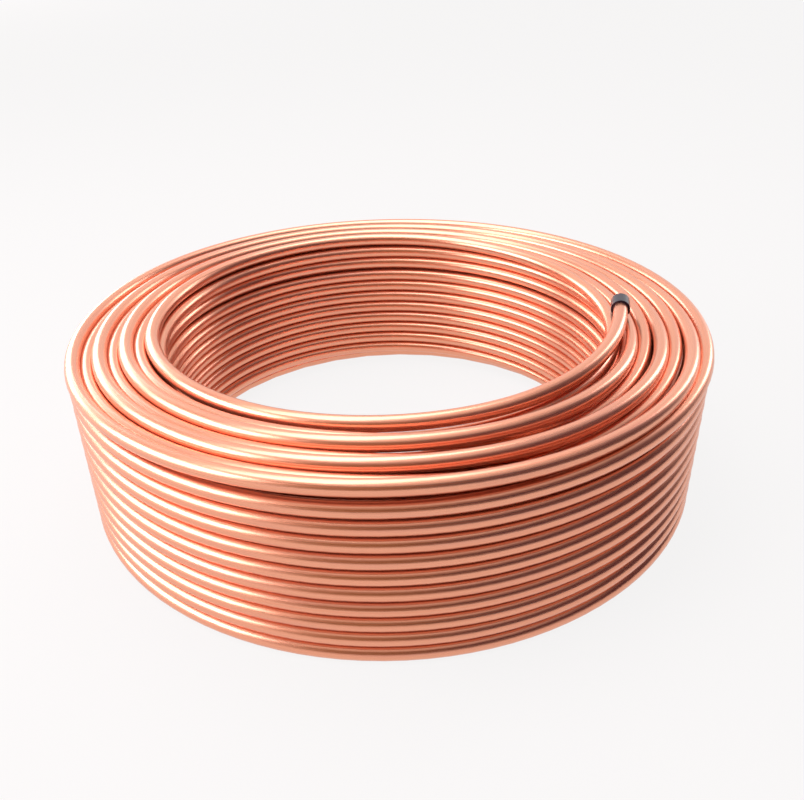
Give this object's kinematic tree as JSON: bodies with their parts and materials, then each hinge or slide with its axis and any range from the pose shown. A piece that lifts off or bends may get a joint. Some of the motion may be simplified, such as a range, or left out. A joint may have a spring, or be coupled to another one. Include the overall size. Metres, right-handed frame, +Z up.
{
  "type": "copper tube coil",
  "caption": "Level-wound coil of round copper tube lying flat, with a wide open bore, a loose inner end turn and a plastic cap on each tube end.",
  "frame": {"origin": "centre of the underside, on the coil's axis, at the level of the floor it lies on", "axes": "+Z up along the coil's axis, -Y towards the side shown at the front in the picture, +X to the right in the picture"},
  "size_m": [0.8548, 0.8546, 0.2517],
  "materials": {
    "copper": null,
    "cap_plastic": "glossy near-black moulded plastic"
  },
  "bodies": {
    "root": {"tube_coil": "copper", "inner_end_cap": "cap_plastic", "outer_end_cap": "cap_plastic"}
  },
  "joints": []
}
